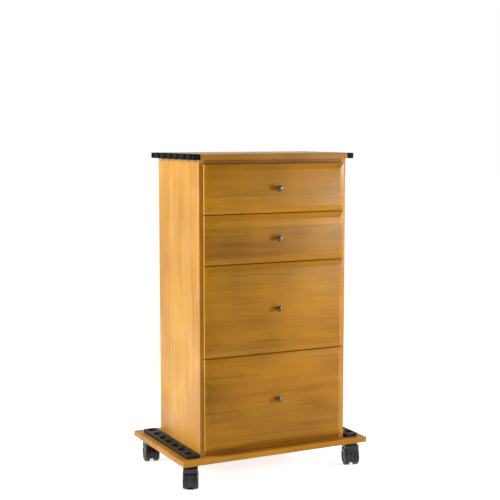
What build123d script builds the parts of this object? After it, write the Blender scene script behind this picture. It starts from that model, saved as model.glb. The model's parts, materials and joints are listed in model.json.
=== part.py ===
from build123d import *
import os
from math import atan2, cos, degrees, radians, sin

# Fishing tackle cabinet: four drawers in a pine case, rod racks on both sides, four twin-wheel casters.
# Millimetres. Origin on the floor under the middle of the outline, -Y is the front, +Z is up.

# --- boards ---------------------------------------------------------------------------------------
base_w = 716.0          # base board
base_d = 456.0
base_t = 19.0
base_ease = 2.0
rack_w = 77.0           # base board outside the case, each side, for the butt pads
top_w = base_w - 2 * rack_w                 # top board, as wide as the case
top_d = 372.0
top_t = 19.0
top_ease = 1.5
top_setback = 22.0      # front edge of the top board behind that of the base
top_lip = 14.5          # top board in front of the case
top_tail = 10.0         # and behind it
case_setback = top_setback + top_lip        # front of the case behind the front edge of the base
case_d = top_d - top_lip - top_tail
side_t = 18.0
rail_t = 18.0           # top rails and divider rails
rail_d = 60.0
rail_setback = 0.5
bottom_t = 15.0         # bottom panel of the case
bottom_setback = 1.0
back_t = 6.0            # back panel in rebates of the side panels
back_lap = 8.0
back_play = 0.3
dowel_r = 4.0
dowel_l = 30.0
dowel_inset = 15.0      # from either edge of a rail
dowel_play = 0.03

# --- drawers --------------------------------------------------------------------------------------
front_lap = 5.0         # of the fronts over the side panels
front_w = top_w - 2 * side_t + 2 * front_lap
front_h = [166.0, 166.0, 310.0, 314.0]      # from the top drawer down
front_gap = 3.0
front_foot = 18.0       # lowest front above the base board
front_head = 15.0       # top board above the highest front
case_h = front_foot + sum(front_h) + front_gap * (len(front_h) - 1) + front_head
front_t = 19.0
face_setback = 16.0     # face of the fronts behind the front edge of the base
bevel_w = 20.0
bevel_d = 8.5
box_t = 12.0
box_back_gap = 37.5
box_d = case_d - box_back_gap
box_drop = [22.0, 22.0, 24.0, 24.0]         # box top below the top of its front
box_rise = [18.0, 18.0, 18.0, 22.0]         # box bottom above the bottom of its front
box_h = [front_h[i] - box_drop[i] - box_rise[i] for i in range(len(front_h))]
tray_t = 5.0            # drawer bottom in grooves
tray_lift = 7.0
groove_d = 5.0
groove_play = 0.2
drawer_travel = 260.0

# --- knobs ----------------------------------------------------------------------------------------
knob_l = 25.0
knob_r = 10.5
knob_foot_r = 6.5
knob_neck_r = 3.9
knob_bore_r = 2.05
knob_bore_l = 11.0
screw_r = 2.0
screw_play = 0.05
screw_head_r = 4.6
screw_head_t = 2.4
screw_grip = 8.0        # thread inside the knob
screw_hole_r = 2.4

# --- drawer slides --------------------------------------------------------------------------------
slide_short = 10.0      # slides shorter than the drawer box
slide_l = box_d - slide_short
slide_h = 44.0
slide_gap = 12.7        # between case side and drawer box
slide_wall = 1.4
slide_lip = 4.0
slide_reach = 11.4      # depth of the channel
runner_neck_h = 24.0
runner_play = 0.4       # over and under the bar inside the channel
runner_bar_t = 4.8
runner_plate_t = 4.2
slide_setback = 3.0
slide_lift = [62.0, 62.0, 120.0, 120.0]     # slide centre above the box bottom
slide_screw_r = 1.9
slide_screw_l = 13.0
slide_head_r = 3.6
slide_head_t = 1.3
slide_screw_ys = [24.0, 128.0, slide_l - 24.0]

# --- rod racks ------------------------------------------------------------------------------------
grip_w = 26.0           # foam bar on each side edge of the top board
grip_h = 19.0
grip_setback = 2.0      # behind the front edge of the top board
grip_tail = 4.0         # and short of its back edge
grip_l = top_d - grip_setback - grip_tail
notch_n = 7
notch_first = 20.0      # first notch behind the front edge of the top board
notch_last = 22.0       # last notch in front of its back edge
notch_pitch = (top_d - notch_first - notch_last) / (notch_n - 1)
notch_r = 8.0
notch_out = 16.0        # notch centre outside the edge of the top board
mouth_w = 13.0
grip_ease = 2.0
pad_edge = 24.0         # pad outside edge in from the base edge
pad_gap = 7.0           # between pad and case
pad_w = rack_w - pad_edge - pad_gap         # butt pad on each side of the base board
pad_t = 12.0
pad_setback = 26.0
pad_tail = 36.0
pad_l = base_d - pad_setback - pad_tail
pad_ease = 2.5
socket_rim = 7.0        # pad left beside each socket
socket_r = pad_w / 2 - socket_rim
socket_depth = 9.0
socket_first = 29.0     # first socket behind the front end of the pad, last as far from its back end
socket_pitch = (pad_l - 2 * socket_first) / (notch_n - 1)
socket_flare = 2.0

# --- casters --------------------------------------------------------------------------------------
caster_h = 84.0
caster_inset = 45.0
caster_trail = 16.0
plate_w = 46.0
plate_t = 2.5
plate_hole_edge = 6.0   # screw holes in from the plate's edges
plate_hole = plate_w / 2 - plate_hole_edge  # and off its centre, both ways
plate_boss_r = 15.0
plate_boss_t = 4.0
pin_r = 5.0
pin_l = 13.0
pin_play = 0.06
swivel_gap = 0.5
wheel_r = 31.5
wheel_w = 17.6
wheel_edge = 7.0
wheel_dish_r = 19.0
wheel_dish_d = 2.5
hub_gap = 18.4          # between the two wheels
web_t = 15.0
web_r = 30.5
web_low = 14.5          # web is cut level this far above the floor
axle_r = 4.0
axle_play = 0.05
axle_inset = 5.0        # axle end inside the wheel's outer face
hood_gap = 2.0
hood_wall = 2.6
hood_w = 50.0
hood_boss_r = 15.0
hood_boss_low = 26.0    # boss for the king pin starts this far above the axle
crown_back = 26.0       # crown of the hood behind the axle
crown_lead = 16.0       # and in front of the swivel axis
crown_corner = 6.0
crown_ease = 4.0
hood_low = 14.0         # leading skirt above the axle height is cut here, below the axle
hood_back = 18.0        # trailing skirt ends this far above the axle
plate_screw_l = 16.0
plate_screw_r = 2.0
plate_head_r = 4.0
plate_head_t = 2.2
# trailing direction of each caster at rest, degrees from -Y towards -X
caster_turn = {"front_left": 25.0, "front_right": 16.0, "back_left": 10.0, "back_right": 30.0}
braked = ["front_left", "back_right"]
brake_w = 22.0
brake_t = 3.0
brake_gap = 1.5
brake_pin_r = 2.5
brake_pin_play = 0.06
brake_pivot_r = 27.0    # pivot from the axle
brake_pivot_up = 50.0   # and its angle above the axle
brake_high = 44.0       # ends of the pedal's arc, degrees above the axle
brake_low = -44.0
brake_clear = 28.5      # hood over a pedal ends this far above the axle
brake_lip = 8.0
brake_arm_t = 6.0
brake_arm_up = 2.0      # arm above and below the pivot
brake_arm_down = 6.0
brake_eye_r = 4.5
brake_slot_play = 0.4

# --- case screws ----------------------------------------------------------------------------------
case_screw_r = 2.25
case_head_r = 4.4
case_head_t = 3.2
case_screw_base_l = 44.0
case_screw_top_l = 30.0
case_screw_inset = 40.0
case_screw_ys = [case_screw_inset, case_d / 2, case_d - case_screw_inset]

# --- places ---------------------------------------------------------------------------------------
knob_overhang = knob_l - face_setback
overall_d = base_d + knob_overhang
y_base = -overall_d / 2 + knob_overhang
z_base = caster_h
z_floor = z_base + base_t
z_top = z_floor + case_h
y_top = y_base + top_setback
y_case = y_base + case_setback
y_back = y_case + case_d
x_in = top_w / 2 - side_t
y_face = y_base + face_setback
y_fb = y_face + front_t
x_box = x_in - slide_gap
y_slide = y_case + slide_setback
y_rail = y_case + rail_setback
y_grip = y_top + grip_setback
y_pad = y_base + pad_setback
x_pad = base_w / 2 - pad_edge
front_z = []            # bottom of each front
level = z_floor + front_foot
for height in reversed(front_h):
    front_z.insert(0, level)
    level += height + front_gap
box_z = [front_z[i] + front_h[i] - box_drop[i] - box_h[i] for i in range(len(front_h))]
slide_z = [box_z[i] + slide_lift[i] for i in range(len(front_h))]

parts = {}


def block(x0, x1, y0, y1, z0, z1):
    """Box from its limits."""
    centre = Pos((x0 + x1) / 2, (y0 + y1) / 2, (z0 + z1) / 2)
    return centre * Box(x1 - x0, y1 - y0, z1 - z0)


def rod(r, length, at, axis):
    """Cylinder that starts at a point and runs along +X, -X, +Y, +Z and so on."""
    plane = Plane(origin=at, z_dir=axis)
    return plane * Cylinder(r, length, align=(Align.CENTER, Align.CENTER, Align.MIN))


def cone(r0, r1, length, at, axis):
    plane = Plane(origin=at, z_dir=axis)
    return plane * Cone(r0, r1, length, align=(Align.CENTER, Align.CENTER, Align.MIN))


def group(solids):
    return Compound(children=list(solids))


def wood_screw(at, axis, length, play=0.0):
    """Countersunk screw, or its hole when play is given; at is the middle of the head's flat."""
    head = cone(case_head_r + play, case_screw_r + play, case_head_t, at, axis)
    return head + rod(case_screw_r + play, length + play, at, axis)


# --- where the fasteners of the case are ------------------------------------------------------------
base_screw_at = [(s * (top_w - side_t) / 2, y_case + y, z_base) for s in (-1, 1) for y in case_screw_ys]
top_rail_ys = [y_rail, y_back - back_t - back_play - rail_d]
top_screw_at = [(s * x_in / 2, y + rail_d / 2, z_top - rail_t) for s in (-1, 1) for y in top_rail_ys]
divider_zs = [front_z[i] - front_gap / 2 - rail_t / 2 for i in range(len(front_h) - 1)]
rails = [(y, z_top - rail_t) for y in top_rail_ys] + [(y_rail, z) for z in divider_zs]
dowel_at = []
for y, z in rails:
    for dy in (dowel_inset, rail_d - dowel_inset):
        dowel_at += [(s, y + dy, z + rail_t / 2) for s in (-1, 1)]
slide_screw_at = [(y_slide + dy, z) for z in slide_z for dy in slide_screw_ys]
caster_at = {}
for side, s in (("left", -1), ("right", 1)):
    caster_at["front_" + side] = (s * (base_w / 2 - caster_inset), y_base + caster_inset)
    caster_at["back_" + side] = (s * (base_w / 2 - caster_inset), y_base + base_d - caster_inset)
plate_hole_at = []
for x, y in caster_at.values():
    for dx in (-plate_hole, plate_hole):
        plate_hole_at += [(x + dx, y - plate_hole), (x + dx, y + plate_hole)]


def dowel_holes():
    half = dowel_l / 2 + dowel_play
    holes = []
    for s, y, z in dowel_at:
        holes.append(rod(dowel_r + dowel_play, 2 * half, (s * x_in - half, y, z), (1, 0, 0)))
    return holes


def base_board():
    board = block(-base_w / 2, base_w / 2, y_base, y_base + base_d, z_base, z_floor)
    board = fillet(board.edges(), base_ease)
    cuts = [wood_screw(at, (0, 0, 1), case_screw_base_l, screw_play) for at in base_screw_at]
    pilot = plate_screw_l - plate_t + screw_play
    cuts += [rod(plate_screw_r + screw_play, pilot, (x, y, z_base), (0, 0, 1)) for x, y in plate_hole_at]
    return board - cuts


def top_board():
    board = block(-top_w / 2, top_w / 2, y_top, y_top + top_d, z_top, z_top + top_t)
    board = fillet(board.edges(), top_ease)
    cuts = [wood_screw(at, (0, 0, 1), case_screw_top_l, screw_play) for at in top_screw_at]
    return board - cuts


def side_panel(s):
    x0, x1 = sorted((s * x_in, s * top_w / 2))
    panel = block(x0, x1, y_case, y_back, z_floor, z_top)
    r0, r1 = sorted((s * x_in, s * (x_in + back_lap)))
    cuts = [block(r0, r1, y_back - back_t - back_play, y_back, z_floor, z_top)]
    cuts += [h for h, (side, _, _) in zip(dowel_holes(), dowel_at) if side == s]
    cuts += [wood_screw(at, (0, 0, 1), case_screw_base_l, screw_play) for at in base_screw_at if at[0] * s > 0]
    reach = slide_screw_l - slide_wall + screw_play
    for y, z in slide_screw_at:
        cuts.append(rod(slide_screw_r + screw_play, reach, (s * x_in, y, z), (s, 0, 0)))
    return panel - cuts


def back_panel():
    half = x_in + back_lap - back_play
    return block(-half, half, y_back - back_t, y_back, z_floor, z_top)


def bottom_panel():
    y1 = y_back - back_t
    return block(-x_in, x_in, y_case + bottom_setback, y1, z_floor, z_floor + bottom_t)


def rail(y, z):
    bar = block(-x_in, x_in, y, y + rail_d, z, z + rail_t)
    cuts = [h for h, (_, _, hz) in zip(dowel_holes(), dowel_at) if abs(hz - z - rail_t / 2) < 1]
    cuts += [wood_screw(at, (0, 0, 1), case_screw_top_l, screw_play) for at in top_screw_at]
    return bar - cuts


def rail_dowels():
    solids = []
    for s, y, z in dowel_at:
        pin = rod(dowel_r, dowel_l, (s * x_in - dowel_l / 2, y, z), (1, 0, 0))
        solids.append(chamfer(pin.edges(), 0.8))
    return group(solids)


def slide_screw(s, y, z):
    x = s * (x_in - slide_wall)
    head = rod(slide_head_r, slide_head_t, (x, y, z), (-s, 0, 0))
    return head + rod(slide_screw_r, slide_screw_l, (x, y, z), (s, 0, 0))


def case_screws():
    solids = [wood_screw(at, (0, 0, 1), case_screw_base_l) for at in base_screw_at]
    solids += [wood_screw(at, (0, 0, 1), case_screw_top_l) for at in top_screw_at]
    solids += [slide_screw(s, y, z) for s in (-1, 1) for y, z in slide_screw_at]
    return group(solids)


# --- drawer slides --------------------------------------------------------------------------------
def slide_rail(s, z):
    """Fixed channel on a side panel, open towards the drawer."""
    def across(a, b, z0, z1):
        x0, x1 = sorted((s * (x_in - a), s * (x_in - b)))
        return block(x0, x1, y_slide, y_slide + slide_l, z0, z1)
    half = slide_h / 2
    channel = across(0, slide_reach, z - half, z + half)
    channel -= across(slide_wall, slide_reach, z - half + slide_wall, z + half - slide_wall)
    for k in (-1, 1):
        z0, z1 = sorted((z + k * (half - slide_lip), z + k * half))
        channel += across(slide_reach - slide_wall, slide_reach, z0, z1)
    holes = []
    for dy in slide_screw_ys:
        at = (s * (x_in + 1), y_slide + dy, z)
        holes.append(rod(slide_screw_r + screw_play, slide_wall + 2, at, (-s, 0, 0)))
    return channel - holes


def runner(s, z):
    """Rail on the drawer box that runs inside the fixed channel."""
    def across(a, b, half):
        x0, x1 = sorted((s * (x_box + a), s * (x_box + b)))
        return block(x0, x1, y_slide, y_slide + slide_l, z - half, z + half)
    neck = across(0, runner_plate_t, runner_neck_h / 2)
    bar_half = slide_h / 2 - slide_wall - runner_play
    return neck + across(runner_plate_t, runner_plate_t + runner_bar_t, bar_half)


# --- drawers --------------------------------------------------------------------------------------
def knob_hole(i, r):
    z = front_z[i] + front_h[i] / 2
    return rod(r, front_t + box_t + 2, (0, y_face - 1, z), (0, 1, 0))


def drawer_front(i):
    """Full overlay front with a wide bevel all round, mitred at the corners."""
    z = front_z[i]
    h = front_h[i]
    slab = block(-front_w / 2, front_w / 2, y_face + bevel_d, y_fb, z, z + h)
    outer = Plane(origin=(0, y_face + bevel_d, z + h / 2), x_dir=(1, 0, 0), z_dir=(0, -1, 0))
    inner = Plane(origin=(0, y_face, z + h / 2), x_dir=(1, 0, 0), z_dir=(0, -1, 0))
    field = loft([outer * Rectangle(front_w, h), inner * Rectangle(front_w - 2 * bevel_w, h - 2 * bevel_w)])
    return slab + field - knob_hole(i, screw_hole_r)


def drawer_box(i):
    """Two sides, inner front and back, grooved for the bottom."""
    z0 = box_z[i]
    z1 = z0 + box_h[i]
    y1 = y_fb + box_d
    g0 = z0 + tray_lift
    reach = x_box - box_t + groove_d
    slot = block(-reach, reach, y_fb + box_t - groove_d, y1 - box_t + groove_d, g0, g0 + tray_t + groove_play)
    inner = x_box - box_t
    boards = [
        block(-x_box, -inner, y_fb, y1, z0, z1),
        block(inner, x_box, y_fb, y1, z0, z1),
        block(-inner, inner, y_fb, y_fb + box_t, z0, z1) - knob_hole(i, screw_hole_r),
        block(-inner, inner, y1 - box_t, y1, z0, z1),
    ]
    return group([b - slot for b in boards])


def drawer_bottom(i):
    g0 = box_z[i] + tray_lift
    reach = x_box - box_t + groove_d - groove_play
    y0 = y_fb + box_t - groove_d + groove_play
    y1 = y_fb + box_d - box_t + groove_d - groove_play
    return block(-reach, reach, y0, y1, g0, g0 + tray_t)


def knob(i):
    """Turned knob: small foot, waisted neck, domed head."""
    z = front_z[i] + front_h[i] / 2
    neck_l = knob_l * 0.42
    with BuildSketch() as profile:
        with BuildLine():
            a = Line((0, 0), (knob_foot_r, 0))
            b = Line(a @ 1, (knob_foot_r, 1.6))
            c = Spline(b @ 1, (knob_neck_r, neck_l * 0.62), (knob_neck_r + 1.4, neck_l), (knob_r, knob_l * 0.62))
            d = Spline(c @ 1, (knob_r * 0.86, knob_l * 0.85), (0, knob_l), tangents=[(0, 1), (-1, 0)])
            Line(d @ 1, (0, 0))
        make_face()
    solid = revolve(profile.sketch, Axis.Y)
    solid = Pos(0, y_face, z) * Rot(180, 0, 0) * solid
    return solid - rod(knob_bore_r, knob_bore_l, (0, y_face, z), (0, -1, 0))


def knob_screw(i):
    z = front_z[i] + front_h[i] / 2
    y = y_fb + box_t
    head = rod(screw_head_r, screw_head_t, (0, y, z), (0, 1, 0))
    head = fillet(head.faces().sort_by(Axis.Y)[-1].edges(), 1.4)
    return head + rod(screw_r, box_t + front_t + screw_grip, (0, y, z), (0, -1, 0))


# --- rod racks ------------------------------------------------------------------------------------
def rod_grip(s):
    """Foam bar with keyhole notches that open outwards."""
    x0, x1 = sorted((s * top_w / 2, s * (top_w / 2 + grip_w)))
    bar = block(x0, x1, y_grip, y_grip + grip_l, z_top, z_top + grip_h)
    outside = bar.edges().filter_by(Axis.Z).sort_by(Axis.X)
    bar = fillet(outside[-2:] if s > 0 else outside[:2], grip_ease)
    cuts = []
    for k in range(notch_n):
        y = y_top + notch_first + k * notch_pitch
        x = s * (top_w / 2 + notch_out)
        m0, m1 = sorted((x, s * (top_w / 2 + grip_w + 1)))
        cuts.append(rod(notch_r, grip_h + 2, (x, y, z_top - 1), (0, 0, 1)))
        cuts.append(block(m0, m1, y - mouth_w / 2, y + mouth_w / 2, z_top - 1, z_top + grip_h + 1))
    return bar - cuts


def butt_pad(s):
    """Moulded pad with a round socket for each rod butt."""
    x0, x1 = sorted((s * x_pad, s * (x_pad - pad_w)))
    pad = block(x0, x1, y_pad, y_pad + pad_l, z_floor, z_floor + pad_t)
    pad = fillet(pad.edges().filter_by(Axis.Z), pad_ease)
    cuts = []
    x = s * (x_pad - pad_w / 2)
    for k in range(notch_n):
        y = y_pad + socket_first + k * socket_pitch
        z = z_floor + pad_t - socket_depth
        cuts.append(rod(socket_r, socket_depth + 1, (x, y, z), (0, 0, 1)))
        cuts.append(cone(socket_r, socket_r + socket_flare, socket_flare,
                         (x, y, z_floor + pad_t - socket_flare), (0, 0, 1)))
    return pad - cuts


# --- casters, made with the swivel axis on Z and the wheels trailing towards -Y ---------------------
hood_z = z_base - plate_t - plate_boss_t - swivel_gap
hood_r = wheel_r + hood_gap + hood_wall
brake_r = wheel_r + brake_gap
pivot_a = radians(brake_pivot_up)
brake_pin_at = (-caster_trail - brake_pivot_r * cos(pivot_a), wheel_r + brake_pivot_r * sin(pivot_a))


def across_x(r, half, y, z):
    return rod(r, 2 * half, (-half, y, z), (1, 0, 0))


def caster_plate():
    plate = block(-plate_w / 2, plate_w / 2, -plate_w / 2, plate_w / 2, z_base - plate_t, z_base)
    plate = fillet(plate.edges().filter_by(Axis.Z), 4)
    plate += rod(plate_boss_r, plate_boss_t, (0, 0, z_base - plate_t), (0, 0, -1))
    plate += rod(pin_r, plate_boss_t + pin_l, (0, 0, z_base - plate_t), (0, 0, -1))
    for dx in (-plate_hole, plate_hole):
        for dy in (-plate_hole, plate_hole):
            plate -= rod(plate_screw_r + 0.3, plate_t + 2, (dx, dy, z_base - plate_t - 1), (0, 0, 1))
    return plate


def caster_hood(with_brake):
    """Web between the wheels, cover over them and boss for the king pin."""
    y = -caster_trail
    cover = across_x(hood_r, hood_w / 2, y, wheel_r)
    crown = block(-hood_w / 2, hood_w / 2, y - crown_back, crown_lead, wheel_r, hood_z)
    crown = fillet(crown.edges().filter_by(Axis.Z), crown_corner)
    crown = fillet(crown.faces().sort_by(Axis.Z)[-1].edges(), crown_ease)
    cover = fillet(cover.edges(), 3) + crown
    cover -= across_x(wheel_r + hood_gap, hood_w, y, wheel_r)
    lead = wheel_r - hood_low
    back = brake_clear if with_brake else hood_back
    trail_cut = block(-hood_w, hood_w, y - 2 * hood_r, y, -hood_r, wheel_r + back)
    cover -= [block(-hood_w, hood_w, y - 1, y + 2 * hood_r, -hood_r, lead), trail_cut]
    web = across_x(web_r, web_t / 2, y, wheel_r)
    web += block(-web_t / 2, web_t / 2, y - web_r * 0.5, web_r * 0.5, wheel_r, wheel_r + hood_r - 1)
    web += block(-web_t / 2, web_t / 2, y, y + hood_r - 1, lead, wheel_r + 10)
    web -= block(-web_t, web_t, y - 2 * web_r, y + 2 * web_r, -web_r, web_low)
    boss_z = wheel_r + hood_boss_low
    boss = rod(hood_boss_r, hood_z - boss_z, (0, 0, boss_z), (0, 0, 1))
    boss -= across_x(wheel_r + hood_gap, hood_w, y, wheel_r)
    hood = cover + web + boss
    hood -= rod(pin_r + pin_play, pin_l + 1, (0, 0, hood_z - pin_l - 0.5), (0, 0, 1))
    hood -= across_x(axle_r + axle_play, web_t, y, wheel_r)
    if with_brake:
        by, bz = brake_pin_at
        half = brake_arm_t / 2 + brake_slot_play
        slot = block(-half, half, y - 2 * web_r, by + 6.5, bz - 9.5, bz + 7.5)
        hood -= [slot, across_x(brake_pin_r + brake_pin_play, web_t, by, bz)]
    return hood


def caster_wheel(s):
    x0 = s * hub_gap / 2
    wheel = rod(wheel_r, wheel_w, (x0, -caster_trail, wheel_r), (s, 0, 0))
    outer = wheel.edges().sort_by(Axis.X)
    wheel = fillet(outer[-1] if s > 0 else outer[0], wheel_edge)
    dish_x = x0 + s * wheel_w
    wheel -= cone(wheel_dish_r, wheel_dish_r - 1.5, wheel_dish_d, (dish_x, -caster_trail, wheel_r), (-s, 0, 0))
    bore = wheel_w - axle_inset + 0.3
    return wheel - rod(axle_r + axle_play, bore, (x0, -caster_trail, wheel_r), (s, 0, 0))


def caster_axle():
    half = hub_gap / 2 + wheel_w - axle_inset
    return across_x(axle_r, half, -caster_trail, wheel_r)


def brake_pedal():
    """Curved pedal behind the wheels, on an arm whose two stubs turn in the web."""
    y = -caster_trail
    by, bz = brake_pin_at
    ring = across_x(brake_r + brake_t, brake_w / 2, y, wheel_r) - across_x(brake_r, brake_w, y, wheel_r)
    reach = 3 * wheel_r

    def wedge(a0, a1):
        pts = [(0, 0)] + [(-reach * cos(radians(a)), reach * sin(radians(a))) for a in (a0, (a0 + a1) / 2, a1)]
        face = make_face(Polyline(*pts, close=True))
        plane = Plane(origin=(-brake_w, y, wheel_r), x_dir=(0, 1, 0), z_dir=(1, 0, 0))
        return extrude(plane * face, amount=2 * brake_w)
    pedal = ring & wedge(brake_low, brake_high)
    low = radians(brake_low)
    ly = y - (brake_r + brake_t / 2) * cos(low)
    lz = wheel_r + (brake_r + brake_t / 2) * sin(low)
    pedal += block(-brake_w / 2, brake_w / 2, ly - brake_lip, ly + 0.5, lz - 0.2, lz + 2.4)
    half = brake_arm_t / 2
    arm = block(-half, half, y - brake_r - brake_t, by, bz - brake_arm_down, bz + brake_arm_up)
    arm = arm & across_x(brake_r + brake_t / 2, half, y, wheel_r)
    arm += across_x(brake_eye_r, half, by, bz)
    arm += across_x(brake_pin_r, web_t / 2, by, bz)
    return pedal + arm


def place(name, solid):
    x, y = caster_at[name]
    return Pos(x, y, 0) * Rot(0, 0, -caster_turn[name]) * solid


# --- collect --------------------------------------------------------------------------------------
parts["base_board"] = base_board()
parts["top_board"] = top_board()
parts["side_panel_left"] = side_panel(-1)
parts["side_panel_right"] = side_panel(1)
parts["back_panel"] = back_panel()
parts["bottom_panel"] = bottom_panel()
parts["top_rails"] = group([rail(y, z) for y, z in rails[:2]])
parts["divider_rails"] = group([rail(y, z) for y, z in rails[2:]])
parts["rail_dowels"] = rail_dowels()
parts["case_screws"] = case_screws()
parts["slide_rails_left"] = group([slide_rail(-1, z) for z in slide_z])
parts["slide_rails_right"] = group([slide_rail(1, z) for z in slide_z])
parts["rod_grip_left"] = rod_grip(-1)
parts["rod_grip_right"] = rod_grip(1)
parts["butt_pad_left"] = butt_pad(-1)
parts["butt_pad_right"] = butt_pad(1)
parts["caster_plates"] = group([Pos(x, y, 0) * caster_plate() for x, y in caster_at.values()])
plate_screws = []
for x, y in plate_hole_at:
    z = z_base - plate_t
    head = rod(plate_head_r, plate_head_t, (x, y, z), (0, 0, -1))
    plate_screws.append(head + rod(plate_screw_r, plate_screw_l, (x, y, z), (0, 0, 1)))
parts["caster_screws"] = group(plate_screws)

for i in range(len(front_h)):
    name = "drawer_" + str(i + 1)
    parts[name + "_front"] = drawer_front(i)
    parts[name + "_box"] = drawer_box(i)
    parts[name + "_bottom"] = drawer_bottom(i)
    parts[name + "_knob"] = knob(i)
    parts[name + "_knob_screw"] = knob_screw(i)
    parts[name + "_runners"] = group([runner(s, slide_z[i]) for s in (-1, 1)])

for name in caster_at:
    node = "caster_" + name
    parts[node + "_hood"] = place(name, caster_hood(name in braked))
    parts[node + "_axle"] = place(name, caster_axle())
    parts[node + "_wheel_left"] = place(name, caster_wheel(-1))
    parts[node + "_wheel_right"] = place(name, caster_wheel(1))
    if name in braked:
        parts[node + "_brake"] = place(name, brake_pedal())

os.makedirs("parts", exist_ok=True)
for name, shape in parts.items():
    export_step(shape, "parts/" + name + ".step")
print(len(parts), "nodes")
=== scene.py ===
# %% [markdown]
# # Fishing tackle cabinet
# A pine cabinet with four drawers stands on a wide base board with four twin-wheel casters.
# Foam grips with notches run along both sides of its top, and pads with round sockets lie below them.
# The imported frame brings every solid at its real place, in metres, and this lesson dresses it.

# %% Load the frame
import json
import math

import bmesh
import bpy
from mathutils import Matrix, Vector

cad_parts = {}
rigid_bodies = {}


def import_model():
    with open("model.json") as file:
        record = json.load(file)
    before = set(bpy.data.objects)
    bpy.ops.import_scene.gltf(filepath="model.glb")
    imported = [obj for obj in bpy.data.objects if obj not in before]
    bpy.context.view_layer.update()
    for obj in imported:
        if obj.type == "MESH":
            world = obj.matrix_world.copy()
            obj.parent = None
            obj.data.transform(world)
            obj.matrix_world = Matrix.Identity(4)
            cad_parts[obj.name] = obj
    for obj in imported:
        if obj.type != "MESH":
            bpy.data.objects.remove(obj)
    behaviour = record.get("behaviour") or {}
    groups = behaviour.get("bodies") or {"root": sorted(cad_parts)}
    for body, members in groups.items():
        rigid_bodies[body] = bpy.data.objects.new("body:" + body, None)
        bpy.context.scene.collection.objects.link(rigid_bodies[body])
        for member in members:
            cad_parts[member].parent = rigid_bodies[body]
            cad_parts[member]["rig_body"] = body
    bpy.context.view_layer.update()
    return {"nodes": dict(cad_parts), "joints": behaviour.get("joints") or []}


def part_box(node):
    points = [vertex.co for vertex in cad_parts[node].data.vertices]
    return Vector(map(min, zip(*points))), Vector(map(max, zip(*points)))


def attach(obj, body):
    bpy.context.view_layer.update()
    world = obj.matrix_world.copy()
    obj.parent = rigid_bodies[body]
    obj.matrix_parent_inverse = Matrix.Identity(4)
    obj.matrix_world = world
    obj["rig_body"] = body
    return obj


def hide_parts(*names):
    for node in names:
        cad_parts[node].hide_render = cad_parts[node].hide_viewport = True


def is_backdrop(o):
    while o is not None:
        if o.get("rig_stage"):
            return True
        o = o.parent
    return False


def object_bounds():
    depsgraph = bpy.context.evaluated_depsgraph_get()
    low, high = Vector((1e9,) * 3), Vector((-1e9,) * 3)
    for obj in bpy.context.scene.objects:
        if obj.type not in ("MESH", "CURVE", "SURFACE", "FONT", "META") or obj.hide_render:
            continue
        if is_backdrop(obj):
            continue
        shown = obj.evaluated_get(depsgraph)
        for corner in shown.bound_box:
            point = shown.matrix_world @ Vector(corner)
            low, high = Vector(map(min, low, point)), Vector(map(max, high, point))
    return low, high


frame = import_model()

# %% [markdown]
# ## Small helpers
# Colours are written as they look on a screen, in sRGB hex. A shader reckons in linear light,
# so one function turns them. One more adds a shader node: a setting is a property of the node,
# and an input takes a value or the output of another node.

# %% Small helpers
MM = 0.001
MIX_A, MIX_B, MIX_OUT = 6, 7, 2        # the colour sockets of a Mix node


def linear(hex_colour):
    channels = [int(hex_colour[i:i + 2], 16) / 255 for i in (1, 3, 5)]
    return [c / 12.92 if c <= 0.04045 else ((c + 0.055) / 1.055) ** 2.4 for c in channels] + [1.0]


def add(tree, kind, inputs=None, **settings):
    node = tree.nodes.new("ShaderNode" + kind)
    for key, value in settings.items():
        setattr(node, key, value)
    for key, value in (inputs or {}).items():
        if isinstance(value, bpy.types.NodeSocket):
            tree.links.new(value, node.inputs[key])
        else:
            node.inputs[key].default_value = value
    return node


def blank(name):
    material = bpy.data.materials.new(name)
    material.use_nodes = True
    material.node_tree.nodes.clear()
    return material, material.node_tree


def surface(tree, inputs):
    shader = add(tree, "BsdfPrincipled", inputs)
    add(tree, "OutputMaterial", {"Surface": shader.outputs[0]})


print("white", linear("#ffffff"), "honey", [round(c, 3) for c in linear("#b07c2c")])

# %% [markdown]
# ## Stained pine: the strips
# The real boards are pine, edge glued from narrower strips, stained honey brown and sprayed with a
# satin lacquer. The material is built in short steps, and the strips come first. Each strip was cut
# from another place in the log, so a white noise gives each three numbers of its own, which shift
# its figure and make it a little lighter or darker. Most patterns in a board are noises that are
# drawn out along the grain, so one function makes them. The slowest one bends the rings and veins.

# %% Strips of a glued board
BEND_TURNS = (1.7, 7, 7)               # turns in a metre: along the grain, across it, into the board
STRIP_SHIFT = (9, 9, 9)                # how far apart in the noise two strips can lie
STRIP_START = 0.61                     # moves the first glue line of each material


def drawn_out(tree, board, turns, detail, warp=0.0, rough=0.5):
    vector = add(tree, "VectorMath", {0: board["point"], 1: turns, 2: board["shift"]},
                 operation="MULTIPLY_ADD").outputs[0]
    return add(tree, "TexNoise", {"Vector": vector, "Scale": 1.0, "Detail": detail, "Roughness": rough,
                                  "Distortion": warp}).outputs[0]


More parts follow.
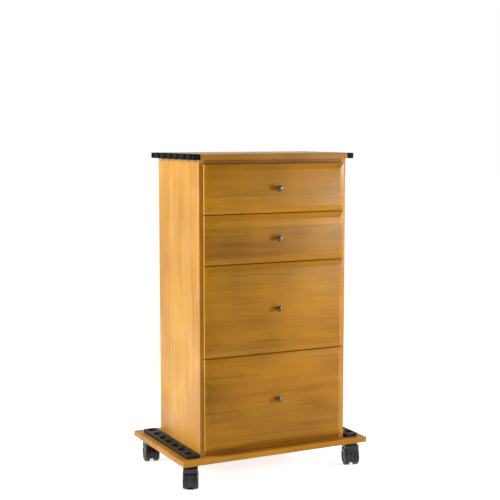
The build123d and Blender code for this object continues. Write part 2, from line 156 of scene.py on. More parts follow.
def glued_strips(tree, grain, across, strip, seed):
    """Where a point lies in its strip, the strip's own numbers, and the slow bend of its grain."""
    xyz = add(tree, "SeparateXYZ", {0: add(tree, "TexCoord").outputs["Object"]})
    deep = ({"X", "Y", "Z"} - {grain, across}).pop()
    along, side, down = (xyz.outputs[axis] for axis in (grain, across, deep))
    place = add(tree, "Math", {0: side, 1: 1 / strip, 2: seed * STRIP_START},
                operation="MULTIPLY_ADD").outputs[0]
    index = add(tree, "Math", {0: place}, operation="FLOOR").outputs[0]
    own = add(tree, "TexWhiteNoise", {"W": index}, noise_dimensions="1D").outputs["Color"]
    board = {
        "side": side, "down": down,
        "within": add(tree, "Math", {0: place}, operation="FRACT").outputs[0],
        "own": add(tree, "SeparateXYZ", {0: own}).outputs,
        "point": add(tree, "CombineXYZ", {0: along, 1: side, 2: down}).outputs[0],
        "shift": add(tree, "VectorMath", {0: own, 1: STRIP_SHIFT}, operation="MULTIPLY").outputs[0],
    }
    bend = drawn_out(tree, board, BEND_TURNS, 2.5, rough=0.45)
    board["bend"] = add(tree, "Math", {0: bend, 1: 0.5}, operation="SUBTRACT").outputs[0]
    return board


print("strips shift by up to", STRIP_SHIFT)

# %% [markdown]
# ## Stained pine: the growth rings
# Pine shows growth rings: wide pale early wood that ends in a thin dark line. A board cuts the rings
# at a slant, so they show as long lines that bend into arches. Each strip gets a pith somewhere
# below its face, and the rings follow the distance from it. That gives arches on the faces and arcs
# on the end grain. Real rings are 3 to 6 mm apart. They are drawn 8 mm apart, so that they still
# show from afar.

# %% Growth rings
RING = 8 * MM
PITH_DEEP = 46 * MM                    # how far the pith's depth varies; half of it is the least
RING_BEND = 0.05                       # metres that a bend of 1 would move a ring
EARLY_ENDS, LATE_FULL, LATE_ENDS = 0.25, 0.86, 0.93    # as shares of a ring


def growth_rings(tree, board, strip):
    """1 in the dark late wood of each ring, 0 in the pale early wood."""
    off = add(tree, "Math", {0: board["within"], 1: board["own"][0]}, operation="SUBTRACT").outputs[0]
    off = add(tree, "Math", {0: off, 1: strip}, operation="MULTIPLY").outputs[0]
    depth = add(tree, "Math", {0: board["own"][1], 1: PITH_DEEP, 2: PITH_DEEP / 2},
                operation="MULTIPLY_ADD").outputs[0]
    depth = add(tree, "Math", {0: depth, 1: board["down"]}, operation="ADD").outputs[0]
    spot = add(tree, "CombineXYZ", {0: off, 1: depth}).outputs[0]
    radius = add(tree, "VectorMath", {0: spot}, operation="LENGTH").outputs["Value"]
    radius = add(tree, "Math", {0: board["bend"], 1: RING_BEND, 2: radius},
                 operation="MULTIPLY_ADD").outputs[0]
    turn = add(tree, "Math", {0: radius, 1: 1 / RING}, operation="MULTIPLY").outputs[0]
    turn = add(tree, "Math", {0: turn}, operation="FRACT").outputs[0]
    rise = add(tree, "MapRange", {0: turn, 1: EARLY_ENDS, 2: LATE_FULL},
               interpolation_type="SMOOTHSTEP").outputs[0]
    fall = add(tree, "MapRange", {0: turn, 1: 1.0, 2: LATE_ENDS},
               interpolation_type="SMOOTHSTEP").outputs[0]
    return add(tree, "Math", {0: rise, 1: fall}, operation="MULTIPLY").outputs[0]


print("rings", RING / MM, "mm apart")

# %% [markdown]
# ## Stained pine: the dark veins
# Pitch and mineral leave a few thin dark lines in a board. They wander along the grain and fade out.
# A saw-tooth of the place across the board, folded at its middle, gives one line for each tooth.
# A soft blotch, which also darkens the stain, decides where the line shows.

# %% Veins
VEIN, VEIN_APART = 3 * MM, 118 * MM    # half a vein's width, and the distance between veins
VEIN_WANDER = 0.09                     # metres that a bend of 1 would move a vein
VEIN_START = 0.37                      # moves the first vein of each material
VEIN_FADES, VEIN_FULL = 0.42, 0.6      # values of the blotch


def dark_veins(tree, board, blotch, seed):
    course = add(tree, "Math", {0: board["bend"], 1: VEIN_WANDER, 2: board["side"]},
                 operation="MULTIPLY_ADD").outputs[0]
    course = add(tree, "Math", {0: course, 1: 1 / VEIN_APART, 2: seed * VEIN_START},
                 operation="MULTIPLY_ADD").outputs[0]
    course = add(tree, "Math", {0: course}, operation="FRACT").outputs[0]
    course = add(tree, "Math", {0: course, 1: 0.5}, operation="SUBTRACT").outputs[0]
    course = add(tree, "Math", {0: course}, operation="ABSOLUTE").outputs[0]
    vein = add(tree, "MapRange", {0: course, 1: VEIN / VEIN_APART, 2: 0.0},
               interpolation_type="SMOOTHSTEP").outputs[0]
    fade = add(tree, "MapRange", {0: blotch, 1: VEIN_FADES, 2: VEIN_FULL},
               interpolation_type="SMOOTHSTEP").outputs[0]
    return add(tree, "Math", {0: vein, 1: fade}, operation="MULTIPLY").outputs[0]


print("veins", VEIN_APART / MM, "mm apart")

# %% [markdown]
# ## Stained pine: the mix
# Stain gives the wood two light tones, one more golden and one more tan, in patches. Over them lies
# one share of the dark tone. Streaks and blotches, where the stain took unevenly, count most in it,
# the veins and fibres less, and the rings least, because the stain nearly hides them. Real fibres
# are far finer than 0.9 mm and are drawn that coarse so that they show. Last comes the thin glue
# line between two strips. The lacquer is a thin, rather dull coat, so it shows as a soft sheen.

# %% Mix of the wood
FIBRE, STREAK = 0.9 * MM, 30 * MM
FIBRE_TURNS = (26, 1 / FIBRE, 1 / FIBRE)
STREAK_TURNS = (1.3, 1 / STREAK, 1 / STREAK)
PATCH_TURNS = (7, 12, 12)
PATCH_GOLD, PATCH_TAN = 0.36, 0.66     # values of the patch noise
BLOTCH_TURNS = 4.5                     # turns in a metre, the same all ways
SHARE_LOW = -0.64                      # starting value of the dark tone's share
LATE_WEIGHT, STREAK_WEIGHT, FIBRE_WEIGHT, BLOTCH_WEIGHT, VEIN_WEIGHT = 0.09, 0.68, 0.24, 0.85, 0.36
STRIP_WEIGHT = 0.26
GLUE_LINE, GLUE_DARK = 0.6 * MM, 0.45  # half its width, and its share of the dark tone
WOOD_ROUGH, WOOD_SHINE = 0.4, 0.18
LACQUER_COAT, LACQUER_ROUGH = 0.05, 0.24


def stained_pine(name, grain, across, strip, tones, seed, rough=WOOD_ROUGH, coat=LACQUER_COAT):
    """Grain runs along one axis, and strips of one width lie side by side across another."""
    material, tree = blank(name)
    gold, tan, dark = (linear(tone) for tone in tones)
    board = glued_strips(tree, grain, across, strip, seed)
    late = growth_rings(tree, board, strip)
    fibre = drawn_out(tree, board, FIBRE_TURNS, 3.0)
    streak = drawn_out(tree, board, STREAK_TURNS, 4.0, warp=0.35)
    patch = drawn_out(tree, board, PATCH_TURNS, 3.0, warp=0.6)
    blotch = add(tree, "TexNoise", {"Vector": board["point"], "Scale": BLOTCH_TURNS,
                                    "Detail": 2.0}).outputs[0]
    vein = dark_veins(tree, board, blotch, seed)

    share = add(tree, "Math", {0: late, 1: LATE_WEIGHT, 2: SHARE_LOW}, operation="MULTIPLY_ADD").outputs[0]
    for part, weight in ((streak, STREAK_WEIGHT), (fibre, FIBRE_WEIGHT), (blotch, BLOTCH_WEIGHT),
                         (vein, VEIN_WEIGHT)):
        share = add(tree, "Math", {0: part, 1: weight, 2: share}, operation="MULTIPLY_ADD").outputs[0]
    share = add(tree, "Math", {0: board["own"][2], 1: STRIP_WEIGHT, 2: share}, operation="MULTIPLY_ADD",
                use_clamp=True).outputs[0]
    patch = add(tree, "MapRange", {0: patch, 1: PATCH_GOLD, 2: PATCH_TAN},
                interpolation_type="SMOOTHSTEP").outputs[0]
    light = add(tree, "Mix", {0: patch, MIX_A: gold, MIX_B: tan}, data_type="RGBA")
    wood = add(tree, "Mix", {0: share, MIX_A: light.outputs[MIX_OUT], MIX_B: dark}, data_type="RGBA")

    edge = add(tree, "Math", {0: board["within"], 1: 0.5}, operation="SUBTRACT").outputs[0]
    edge = add(tree, "Math", {0: edge}, operation="ABSOLUTE").outputs[0]
    joint = add(tree, "MapRange", {0: edge, 1: 0.5 - GLUE_LINE / strip, 2: 0.5, 4: GLUE_DARK}).outputs[0]
    wood = add(tree, "Mix", {0: joint, MIX_A: wood.outputs[MIX_OUT], MIX_B: dark}, data_type="RGBA")

    gloss = add(tree, "MapRange", {0: fibre, 3: rough - 0.06, 4: rough + 0.08}).outputs[0]
    relief = add(tree, "Math", {0: fibre, 1: 0.6, 2: late}, operation="MULTIPLY_ADD").outputs[0]
    bump = add(tree, "Bump", {"Strength": 0.12, "Distance": 0.3 * MM, "Height": relief}).outputs[0]
    surface(tree, {"Base Color": wood.outputs[MIX_OUT], "Roughness": gloss, "Normal": bump,
                   "Specular IOR Level": WOOD_SHINE, "Coat Weight": coat,
                   "Coat Roughness": LACQUER_ROUGH})
    return material


print("the share of the dark tone starts at", SHARE_LOW)

# %% [markdown]
# ## The woods of this cabinet
# The side panels are the same stained pine as the fronts. Their paler tones are painted light, for the
# strong lamp light that falls on them from the left. The rails look darkest, so each kind of board has
# tones of its own. The drawer boxes are the same pine, only lacquered, so they stay pale and have a
# little more gloss on top. The letters give the axis of the grain and the axis across which the strips lie.

# %% Woods
BARE_PINE = ("#e2bd80", "#dcb582", "#b58648")
BARE_STRIP, BARE_ROUGH, BARE_COAT = 134 * MM, 0.45, 0.12
pine_fronts = stained_pine("pine_stained_fronts", "X", "Z", 104 * MM, ("#c8870a", "#c48812", "#764702"), 1)
# paler tones than the fronts: painted light, for the strong light on the side panels from the left
pine_sides_painted_light = stained_pine("pine_stained_sides_painted_light", "Z", "Y", 87 * MM, ("#d99f36", "#dba858", "#a1681a"), 2)
pine_boards = stained_pine("pine_stained_boards", "X", "Y", 76 * MM, ("#cd8d0c", "#ca9130", "#824d04"), 3)
pine_rails = stained_pine("pine_stained_rails", "X", "Y", 60 * MM, ("#c2820a", "#be852c", "#714203"), 4)
drawer_wood = stained_pine("pine_lacquered_drawer", "X", "Z", BARE_STRIP, BARE_PINE, 5, BARE_ROUGH, BARE_COAT)
drawer_sides_wood = stained_pine("pine_lacquered_drawer_sides", "Y", "Z", BARE_STRIP, BARE_PINE, 6,
                                 BARE_ROUGH, BARE_COAT)
print("woods", [m.name for m in bpy.data.materials if m.name.startswith("pine")])

# %% [markdown]
# ## Plywood and beech
# The back of the case and the drawer bottoms are thin birch plywood, peeled from the log, so its
# figure is wide, pale and slow. The dowels are beech, turned, with short dark flecks. The numbers of
# turns are per metre along X, Y and Z, and the fewest lie along the grain.

# %% Plywood and beech
PEELED_FIGURE, PEELED_FLECKS = (3, 3, 14), (700, 700, 60)
TURNED_FIGURE, TURNED_FLECKS = (8, 90, 90), (120, 900, 900)


def peeled_or_turned(name, pale, dark, figure_turns, fleck_turns, rough):
    material, tree = blank(name)
    place = add(tree, "TexCoord").outputs["Object"]
    slow = add(tree, "VectorMath", {0: place, 1: figure_turns}, operation="MULTIPLY").outputs[0]
    figure = add(tree, "TexNoise", {"Vector": slow, "Scale": 1.0, "Detail": 5.0,
                                    "Distortion": 0.8}).outputs[0]
    short = add(tree, "VectorMath", {0: place, 1: fleck_turns}, operation="MULTIPLY").outputs[0]
    flecks = add(tree, "TexNoise", {"Vector": short, "Scale": 1.0, "Detail": 2.0}).outputs[0]
    marks = add(tree, "MapRange", {0: flecks, 1: 0.58, 2: 0.72, 4: 0.35}).outputs[0]
    share = add(tree, "Math", {0: figure, 1: 0.9, 2: marks}, operation="MULTIPLY_ADD",
                use_clamp=True).outputs[0]
    wood = add(tree, "Mix", {0: share, MIX_A: linear(pale), MIX_B: linear(dark)}, data_type="RGBA")
    bump = add(tree, "Bump", {"Strength": 0.15, "Distance": 0.2 * MM, "Height": flecks}).outputs[0]
    gloss = add(tree, "MapRange", {0: figure, 3: rough - 0.06, 4: rough + 0.06}).outputs[0]
    surface(tree, {"Base Color": wood.outputs[MIX_OUT], "Roughness": gloss, "Normal": bump})
    return material


birch_plywood = peeled_or_turned("birch_plywood_peeled", "#dcbb86", "#b88d55", PEELED_FIGURE,
                                 PEELED_FLECKS, rough=0.6)
beech = peeled_or_turned("beech_turned", "#d8ae7c", "#ad7c4c", TURNED_FIGURE, TURNED_FLECKS, rough=0.6)
print("plain woods", birch_plywood.name, beech.name)

# %% [markdown]
# ## Metals
# The knobs are brass with a patina, rubbed back in patches and sealed with a clear lacquer, which
# gives them a small sharp highlight. Their tones are darker than a patina alone: a painted dark
# reflection, for the dark surroundings that a polished knob mirrors, because the world it reflects here
# is white. Screws, caster plates and axles are zinc plated steel, which is bluish grey and slightly
# cloudy. The drawer slides are rolled from the same plated strip, so fine lines run along them.

# %% Metals
LINE_LENGTH_TURNS = 12                 # turns in a metre along a line of turning or rolling


def metal(name, bright, dull, patch, line, rough, lacquer=0.0):
    """Patches of patina or plating cloud, with lines from turning or rolling along Y."""
    material, tree = blank(name)
    place = add(tree, "TexCoord").outputs["Object"]
    cloud = add(tree, "TexNoise", {"Vector": place, "Scale": 1 / patch, "Detail": 4.0}).outputs[0]
    cloud = add(tree, "MapRange", {0: cloud, 1: 0.36, 2: 0.66}, interpolation_type="SMOOTHSTEP").outputs[0]
    thin = add(tree, "VectorMath", {0: place, 1: (1 / line, LINE_LENGTH_TURNS, 1 / line)},
               operation="MULTIPLY").outputs[0]
    lines = add(tree, "TexNoise", {"Vector": thin, "Scale": 1.0, "Detail": 2.0}).outputs[0]
    tone = add(tree, "Mix", {0: cloud, MIX_A: linear(bright), MIX_B: linear(dull)}, data_type="RGBA")
    worn = add(tree, "Math", {0: cloud, 1: 0.12, 2: rough}, operation="MULTIPLY_ADD").outputs[0]
    worn = add(tree, "Math", {0: lines, 1: 0.08, 2: worn}, operation="MULTIPLY_ADD").outputs[0]
    bump = add(tree, "Bump", {"Strength": 0.1, "Distance": 0.1 * MM, "Height": lines}).outputs[0]
    surface(tree, {"Base Color": tone.outputs[MIX_OUT], "Metallic": 1.0, "Roughness": worn, "Normal": bump,
                   "Coat Weight": lacquer, "Coat Roughness": 0.1})
    return material


# dark brass tones: patina plus a painted dark reflection of the surroundings
brass_patina_and_painted_dark = metal("brass_painted_dark_reflection_and_patina", "#574529", "#1f170d", patch=3 * MM, line=0.5 * MM,
                      rough=0.16, lacquer=0.6)
zinc_steel = metal("steel_zinc_plated", "#c6c8c9", "#a2a5a8", patch=5 * MM, line=0.6 * MM, rough=0.28)
slide_steel = metal("steel_rolled_zinc_plated", "#b9bbbc", "#94979a", patch=9 * MM, line=0.7 * MM,
                    rough=0.3)
print("metals", brass_patina_and_painted_dark.name, zinc_steel.name, slide_steel.name)

# %% [markdown]
# ## Foam, rubber and plastic
# The grips are closed-cell foam: black, dull, with a skin of tiny pits. The butt pads are moulded
# rubber with a slight sheen. Caster hoods are moulded ABS with a spark-eroded grain, and the wheels
# are nylon, a little glossier, with scuffs from the floor. The cells of the pattern are as wide as
# the pits or the grain, and a broad noise lays paler, worn places over the black.

# %% Black materials
WORN_TURNS = 60.0                      # turns in a metre of the broad noise


def moulded(name, base, worn, grain, pit, rough, shine):
    material, tree = blank(name)
    place = add(tree, "TexCoord").outputs["Object"]
    cells = add(tree, "TexVoronoi", {"Vector": place, "Scale": 1 / grain}, feature="F1").outputs["Distance"]
    broad = add(tree, "TexNoise", {"Vector": place, "Scale": WORN_TURNS, "Detail": 5.0,
                                   "Roughness": 0.65}).outputs[0]
    scuff = add(tree, "MapRange", {0: broad, 1: 0.48, 2: 0.78}, interpolation_type="SMOOTHSTEP").outputs[0]
    tone = add(tree, "Mix", {0: scuff, MIX_A: linear(base), MIX_B: linear(worn)}, data_type="RGBA")
    gloss = add(tree, "MapRange", {0: broad, 3: rough - 0.08, 4: rough + 0.1}).outputs[0]
    bump = add(tree, "Bump", {"Strength": pit, "Distance": 0.3 * MM, "Height": cells}).outputs[0]
    surface(tree, {"Base Color": tone.outputs[MIX_OUT], "Roughness": gloss, "Normal": bump,
                   "Specular IOR Level": shine})
    return material


grip_foam = moulded("foam_closed_cell", "#0b0a0a", "#151312", grain=1.1 * MM, pit=0.35,
                    rough=0.75, shine=0.12)
pad_rubber = moulded("rubber_moulded", "#0d0c0c", "#1a1817", grain=0.9 * MM, pit=0.12,
                     rough=0.5, shine=0.25)
caster_abs = moulded("abs_spark_grained", "#141412", "#262420", grain=0.8 * MM, pit=0.12,
                     rough=0.42, shine=0.4)
wheel_nylon = moulded("nylon_moulded", "#131211", "#2b2925", grain=0.7 * MM, pit=0.06,
                      rough=0.4, shine=0.4)
print("black materials", grip_foam.name, pad_rubber.name, caster_abs.name, wheel_nylon.name)

# %% [markdown]
# ## Dressing the frame
# Most solids of the frame already have the right shape, so each takes its material as it is. Their
# names say what they are, and the way a name starts and ends is enough to find its material. Some
# of them are replaced further on by finer pieces of the same stuff.

# %% Give the solids their materials
FINISHES = [                           # start of the name, end of the name, material
    ("base_board", "", pine_boards), ("top_board", "", pine_boards), ("side_panel", "", pine_sides_painted_light),
    ("slide_rails", "", slide_steel), ("", "_runners", slide_steel),
    ("", "_rails", pine_rails), ("bottom_panel", "", pine_rails),
    ("back_panel", "", birch_plywood), ("", "_bottom", birch_plywood), ("rail_dowels", "", beech),
    ("", "_front", pine_fronts), ("", "_box", drawer_wood), ("", "_knob", brass_patina_and_painted_dark),
    ("rod_grip", "", grip_foam), ("butt_pad", "", pad_rubber),
    ("", "_hood", caster_abs), ("", "_brake", caster_abs),
    ("", "_wheel_left", wheel_nylon), ("", "_wheel_right", wheel_nylon),
    ("", "", zinc_steel),
]

for node, solid in frame["nodes"].items():
    material = next(m for start, end, m in FINISHES if node.startswith(start) and node.endswith(end))
    solid.data.materials.clear()
    solid.data.materials.append(material)

print("dressed", len(frame["nodes"]))

# %% [markdown]
# ## Pieces made from the frame's own places
# A new piece stands where the solid it replaces stands. A bmesh is shaped with operators, written
# to a mesh with its place in its vertices, and hung on the body that carries the old solid.
# Each edge of a real board or moulding is a little rounded, and that line of light is what the
# eye reads as solid. So a copy of a solid is merged into one skin, its flat triangles are joined,
# and only its sharp edges are bevelled.

# %% Make, ease and hang a piece
MERGE = 0.002 * MM                     # corners nearer than this are one
FLAT = math.radians(0.3)               # faces that turn less than this are one
SHARP = 50                             # degrees; an edge that turns more is eased


def hang(bm, name, replaced, materials, smooth_below=38):
    """Writes a bmesh as a piece on the body of the node that it replaces."""
    mesh = bpy.data.meshes.new(name)
    bm.to_mesh(mesh)
    bm.free()
    for material in materials:
        mesh.materials.append(material)
    mesh.shade_smooth()
    mesh.set_sharp_from_angle(angle=math.radians(smooth_below))
    piece = bpy.data.objects.new(name, mesh)
    bpy.context.scene.collection.objects.link(piece)
    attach(piece, frame["nodes"][replaced]["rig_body"])
    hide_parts(replaced)
    return piece


def merged_copy(node, wanted=lambda face: True):
    """The wanted faces of a solid as one skin, with its flat triangles joined."""
    bm = bmesh.new()
    bm.from_mesh(frame["nodes"][node].data)
    unwanted = [f for f in bm.faces if not wanted(f)]
    bmesh.ops.delete(bm, geom=unwanted, context="FACES")
    bmesh.ops.remove_doubles(bm, verts=bm.verts, dist=MERGE)
    bmesh.ops.dissolve_limit(bm, angle_limit=FLAT, verts=bm.verts, edges=bm.edges)
    return bm


def sharp_edges(bm):
    return [e for e in bm.edges if e.is_manifold and math.degrees(e.calc_face_angle()) > SHARP]


def ease(bm, edges, width, segments=2):
    bmesh.ops.bevel(bm, geom=edges, offset=width, offset_type="OFFSET", segments=segments, profile=0.5,
                    affect="EDGES", clamp_overlap=True, material=-1)


print("edges over", SHARP, "degrees are eased")

# %% [markdown]
# ## Drawer fronts
# Each front is one thick panel of glued strips. A cutter ran round its face and left a wide slope
# that meets in mitres at the corners. The slab is a cube, its face is extruded forward and shrunk
# by the width of the slope, which gives the mitres for nothing. The rim between the slope and the
# sides is rounded most, and the other edges are only sanded. The left and right ends take the paler
# wood of the side panels: painted light, for the bright side light that strikes them.

# %% Drawer fronts
BEVEL_WIDE, BEVEL_DEEP = 20 * MM, 8.5 * MM
RIM_ROUND, SANDED_ROUND = 1.6 * MM, 0.7 * MM
SLOPE_TURN = 17                        # degrees; the slope meets the face at more than this
DRAWERS = [1, 2, 3, 4]


def box_between(bm, low, high):
    centre = [(a + b) / 2 for a, b in zip(low, high)]
    size = [b - a for a, b in zip(low, high)]
    place = Matrix.Translation(centre) @ Matrix.Diagonal((*size, 1))
    bmesh.ops.create_cube(bm, size=1, matrix=place)


def drawer_front(number):
    node = f"drawer_{number}_front"
    low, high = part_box(node)
    rim_y = low.y + BEVEL_DEEP
    bm = bmesh.new()
    box_between(bm, (low.x, rim_y, low.z), high)
    face = min(bm.faces, key=lambda f: f.calc_center_median().y)
    raised = bmesh.ops.extrude_face_region(bm, geom=[face])["geom"]
    bmesh.ops.delete(bm, geom=[face], context="FACES")
    corners = [v for v in raised if isinstance(v, bmesh.types.BMVert)]
    bmesh.ops.translate(bm, verts=corners, vec=(0, -BEVEL_DEEP, 0))
    middle = (low + high) / 2
    share = [1 - 2 * BEVEL_WIDE / (high[i] - low[i]) for i in (0, 2)]
    bmesh.ops.scale(bm, verts=corners, vec=(share[0], 1, share[1]), space=Matrix.Translation(-middle))
    bmesh.ops.recalc_face_normals(bm, faces=bm.faces)
    rim = [e for e in bm.edges if all(abs(v.co.y - rim_y) < 0.1 * MM for v in e.verts)]
    ease(bm, rim, RIM_ROUND, 3)
    ease(bm, [e for e in bm.edges if math.degrees(e.calc_face_angle()) > SLOPE_TURN], SANDED_ROUND)
    for face in bm.faces:
        # the left and right ends take the paler wood: painted light from the side lamps
        face.material_index = 1 if abs(face.normal.x) > 0.9 else 0
    return hang(bm, f"front_{number}", node, [pine_fronts, pine_sides_painted_light], 20)


for number in DRAWERS:
    front = drawer_front(number)
    print(front.name, len(front.data.polygons), "faces")

# %% [markdown]
# ## Drawer boxes
# The boxes are lacquered but not stained. Their grain runs along each board, so the side boards
# need another direction of grain than the front and back ones. The four boards touch, so each is
# taken out of the solid, merged and eased by itself before they come together again. Merged as one
# they would share corners where they touch, and their shading would smear across the joints.

# %% Drawer boxes
BOX_WALL, BOX_ROUND = 12 * MM, 0.8 * MM
BOARDS = {"front": 0, "back": 0, "left": 1, "right": 1}    # which wood of the piece each board takes
NEAR = 0.05 * MM                       # a corner this near to a plane lies in it


def board_of(face, inner, middle_y):
    """Side boards reach outside the inner width; the end of a front or back board only touches it."""
    centre = face.calc_center_median()
    reach = [abs(v.co.x) for v in face.verts]
    board_end = max(reach) < inner + NEAR and face.normal.x * centre.x > 0
    if min(reach) > inner - NEAR and not board_end:
        return "left" if centre.x < 0 else "right"
    return "front" if centre.y < middle_y else "back"


def drawer_box(number):
    node = f"drawer_{number}_box"
    low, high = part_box(node)
    inner, middle_y = high.x - BOX_WALL, (low.y + high.y) / 2
    whole = bmesh.new()
    for board, wood in BOARDS.items():
        bm = merged_copy(node, lambda face: board_of(face, inner, middle_y) == board)
        ease(bm, sharp_edges(bm), BOX_ROUND)
        for face in bm.faces:
            face.material_index = wood
        part = bpy.data.meshes.new("board")
        bm.to_mesh(part)
        bm.free()
        whole.from_mesh(part)
        bpy.data.meshes.remove(part)
    return hang(whole, f"drawer_box_{number}", node, [drawer_wood, drawer_sides_wood])


for number in DRAWERS:
    box = drawer_box(number)
    print(box.name, len(box.data.polygons), "faces")

# %% [markdown]
# ## Knobs
# A small turned brass knob: a thin foot on the wood, a waist, and a mushroom head with one fine
# groove that the lathe left near its rim. Turned parts are spun from half an outline. The outline
# is given as distance from the wood and radius, in millimetres.

# %% Knobs
KNOB_TURNS = 48                        # faces round a knob
KNOB = [(0, 0), (0, 6.3), (0.5, 6.5), (1.2, 6.5), (1.6, 6.1), (2.1, 5.0), (3.4, 4.3), (5.2, 3.95),
        (7.2, 3.95), (9.2, 4.5), (10.6, 5.6), (12.0, 7.4), (13.4, 9.2), (14.6, 10.1), (15.6, 10.5),
        (16.6, 10.45), (17.3, 10.2), (17.5, 9.9), (17.8, 9.9), (18.1, 10.05), (19.6, 9.5), (21.2, 8.3),
        (22.7, 6.4), (23.9, 4.1), (24.7, 1.9), (25.0, 0)]


def spun(outline, axis, turns):
    """Half an outline as (along, radius) in mm, spun about an axis through the origin."""
    bm = bmesh.new()
    across = Vector((0, 0, 1))
    points = [bm.verts.new(Vector(axis) * a * MM + across * r * MM) for a, r in outline]
    edges = [bm.edges.new(pair) for pair in zip(points, points[1:])]
    bmesh.ops.spin(bm, geom=points + edges, cent=(0, 0, 0), axis=axis, angle=2 * math.pi, steps=turns,
                   use_merge=True)
    bmesh.ops.remove_doubles(bm, verts=bm.verts, dist=0.005 * MM)
    bmesh.ops.recalc_face_normals(bm, faces=bm.faces)
    return bm


for number in DRAWERS:
    low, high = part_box(f"drawer_{number}_knob")
    bm = spun(KNOB, (0, -1, 0), KNOB_TURNS)
    bmesh.ops.translate(bm, verts=bm.verts, vec=((low.x + high.x) / 2, high.y, (low.z + high.z) / 2))
    hang(bm, f"knob_{number}", f"drawer_{number}_knob", [brass_patina_and_painted_dark], 50)
print("knob spans", [round((high[i] - low[i]) / MM, 1) for i in range(3)])

# %% [markdown]
# ## Grips and pads
# Each grip is cut from closed-cell foam. Foam can't hold a sharp edge, so its rims are rounder
# than wood. The butt pads are moulded rubber, with a crisper and smaller rounding.

# %% Grips and pads
FOAM_ROUND, RUBBER_ROUND = 1.1 * MM, 0.7 * MM

for side in ("left", "right"):
    bm = merged_copy(f"rod_grip_{side}")
    ease(bm, sharp_edges(bm), FOAM_ROUND, 3)
    grip = hang(bm, f"grip_{side}", f"rod_grip_{side}", [grip_foam])
    bm = merged_copy(f"butt_pad_{side}")
    ease(bm, sharp_edges(bm), RUBBER_ROUND)
    pad = hang(bm, f"pad_{side}", f"butt_pad_{side}", [pad_rubber])
    print(side, "grip", len(grip.data.polygons), "pad", len(pad.data.polygons), "faces")

# %% [markdown]
# ## Caster wheels
# A twin-wheel caster has two nylon wheels on one steel pin, with a moulded hood between and over
# them. Each wheel is spun: a flat tread with a fine parting line, a round shoulder, a shallow dish
# and a raised hub cap. The joints of the frame say where each wheel turns and about what axis, so
# the wheel is made at the origin and then turned and moved there.

# %% Wheels
WHEEL_R, WHEEL_WIDE, SHOULDER_R = 31.5, 17.6, 7    # mm
HALF_GAP = 9.2                         # mm from the middle of the caster to each wheel
WHEEL_TURNS = 72                       # faces round a wheel
SHOULDER = [(WHEEL_WIDE - SHOULDER_R + SHOULDER_R * math.sin(math.radians(a)),
             WHEEL_R - SHOULDER_R + SHOULDER_R * math.cos(math.radians(a))) for a in range(0, 91, 10)]
WHEEL = [(0, 4.2), (0, 13.6), (0.7, 14.2), (0.7, 26.2), (0, 26.8), (0, 30.7), (0.25, 31.25), (0.8, WHEEL_R),
         (7.6, WHEEL_R), (7.9, 31.2), (8.2, WHEEL_R), *SHOULDER, (WHEEL_WIDE, 19.6), (17.3, 19.0),
         (15.6, 18.0), (15.1, 17.4), (15.1, 10.4), (15.4, 9.8), (16.6, 9.3), (17.1, 8.5), (17.3, 5.0),
         (17.35, 0)]
CASTERS = ["front_left", "front_right", "back_left", "back_right"]
joints = {joint["name"]: joint for joint in frame["joints"]}


def wheel(caster, side):
    joint = joints[f"caster_{caster}_{side}_roll"]
    bm = spun([(HALF_GAP + a, r) for a, r in WHEEL], (1, 0, 0), WHEEL_TURNS)
    if side == "left":
        bmesh.ops.scale(bm, verts=bm.verts, vec=(-1, 1, 1))
        bmesh.ops.recalc_face_normals(bm, faces=bm.faces)
    turn = math.atan2(joint["axis"][1], joint["axis"][0])
    place = Matrix.Translation(joint["pos_m"]) @ Matrix.Rotation(turn, 4, "Z")
    bmesh.ops.transform(bm, matrix=place, verts=bm.verts)
    return hang(bm, f"wheel_{caster}_{side}", f"caster_{caster}_wheel_{side}",
                [wheel_nylon], 30)


for caster in CASTERS:
    pair = [wheel(caster, side) for side in ("left", "right")]
    print(caster, "wheels", [len(piece.data.polygons) for piece in pair], "faces")

# %% [markdown]
# ## Caster hoods and brakes
# The hood is one ABS moulding that covers the tops of both wheels, and the brake is a small pedal
# of the same plastic that hinges in it. Their solids are right already. A mould leaves no sharp
# edge, so the copies are only eased a little. Two of the four casters have a brake.

# %% Hoods and brakes
MOULDED_ROUND = 0.5 * MM

for caster in CASTERS:
    for part in ("hood", "brake"):
        node = f"caster_{caster}_{part}"
        if node in frame["nodes"]:
            bm = merged_copy(node)
            ease(bm, sharp_edges(bm), MOULDED_ROUND)
            piece = hang(bm, f"{part}_{caster}", node, [caster_abs])
            print(piece.name, len(piece.data.polygons), "faces")

# %% [markdown]
# ## Floor and world
# A pale floor catches the shadow, and a white world fills in from all sides. Both are plain and
# dim enough to leave the colours of the wood as they are written. For the camera, for reflections
# and for light through glass alone they are brighter, so that the background looks white without
# harder lamps.

# %% Floor and world
FLOOR_GREY, FLOOR_GLOW, FLOOR_R = 0.86, 0.8, 30    # the radius is in metres, far past the view
WORLD_LIGHT = 0.3


def seen(tree):
    """1 for rays from the camera, a reflection or a transmission, else 0."""
    path = add(tree, "LightPath")
    first = add(tree, "Math", {0: path.outputs["Is Camera Ray"], 1: path.outputs["Is Glossy Ray"]},
                operation="MAXIMUM").outputs[0]
    return add(tree, "Math", {0: first, 1: path.outputs["Is Transmission Ray"]},
               operation="MAXIMUM").outputs[0]


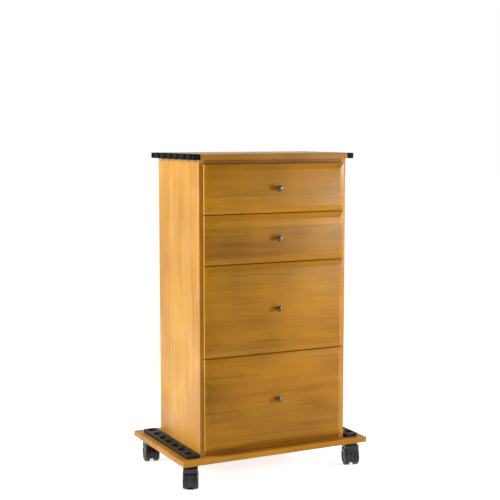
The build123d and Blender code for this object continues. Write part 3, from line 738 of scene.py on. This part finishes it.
def pale_floor():
    material, tree = blank("floor_pale")
    glow = add(tree, "Math", {0: seen(tree), 1: FLOOR_GLOW}, operation="MULTIPLY").outputs[0]
    surface(tree, {"Base Color": (FLOOR_GREY, FLOOR_GREY, FLOOR_GREY, 1), "Roughness": 0.9,
                   "Specular IOR Level": 0.0, "Emission Color": (1, 1, 1, 1), "Emission Strength": glow})
    bm = bmesh.new()
    bmesh.ops.create_circle(bm, cap_ends=True, segments=64, radius=FLOOR_R)
    mesh = bpy.data.meshes.new("floor")
    bm.to_mesh(mesh)
    bm.free()
    mesh.materials.append(material)
    floor = bpy.data.objects.new("floor", mesh)
    bpy.context.scene.collection.objects.link(floor)
    floor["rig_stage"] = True


def plain_world(light):
    world = bpy.data.worlds.new("studio")
    world.use_nodes = True
    tree = world.node_tree
    tree.nodes.clear()
    strength = add(tree, "MapRange", {0: seen(tree), 3: light, 4: 1.0}).outputs[0]
    sky = add(tree, "Background", {"Color": (1, 1, 1, 1), "Strength": strength})
    add(tree, "OutputWorld", {"Surface": sky.outputs[0]})
    bpy.context.scene.world = world


pale_floor()
plain_world(WORLD_LIGHT)
print("floor grey", FLOOR_GREY, "world light", WORLD_LIGHT)

# %% [markdown]
# ## Lamps
# Three area lamps light the cabinet. The largest stands far to the left and makes the side panel
# and the left edges of the fronts bright. A small weak one stands low and near, on the right and in
# front, and throws the short shadows of the knobs to the left. The third stands far to the right,
# little in front of the drawers, and catches their right-hand slopes. The camera doesn't see them.

# %% Lamps
LAMPS = [                              # name, place, aim, width in metres, watts
    ("lamp_left", (-3.4, 0.5, 1.9), (0, 0, 0.6), 1.4, 128),
    ("lamp_right", (1.35, -1.5, 0.8), (0, 0, 0.6), 0.4, 17),
    ("lamp_edge", (3.0, -0.5, 1.4), (0, 0, 0.7), 0.8, 70),
]

for name, at, aim, size, power in LAMPS:
    data = bpy.data.lights.new(name, "AREA")
    data.size = size
    data.energy = power
    lamp = bpy.data.objects.new(name, data)
    lamp.location = at
    lamp.visible_camera = False
    lamp.rotation_euler = (Vector(aim) - Vector(at)).to_track_quat("-Z", "Y").to_euler()
    bpy.context.scene.collection.objects.link(lamp)
    print(name, at, power, "W")

# %% [markdown]
# ## Camera
# The camera stands to the left of the cabinet at about the height of its top, and looks slightly
# down at it through a long lens. The angles are in degrees, the focal length in millimetres, and
# the place in metres. Standard colour management shows each colour as it is written.

# %% Camera
CAMERA_AT = (-1.8070, -3.5750, 1.1892)
YAW, PITCH, LENS = 26.832, 5.923, 81.28

camera_data = bpy.data.cameras.new("camera")
camera_data.lens = LENS
camera = bpy.data.objects.new("camera", camera_data)
camera.location = CAMERA_AT
camera.rotation_euler = (math.radians(90 - PITCH), 0, math.radians(-YAW))
bpy.context.scene.collection.objects.link(camera)
bpy.context.scene.camera = camera
bpy.context.scene.view_settings.view_transform = "Standard"
print("camera", [round(v, 3) for v in camera.location])

# %% [markdown]
# ## The box of the model
# The box of the dressed model is taken now.

# %% Take the box of the model and finish
low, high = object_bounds()
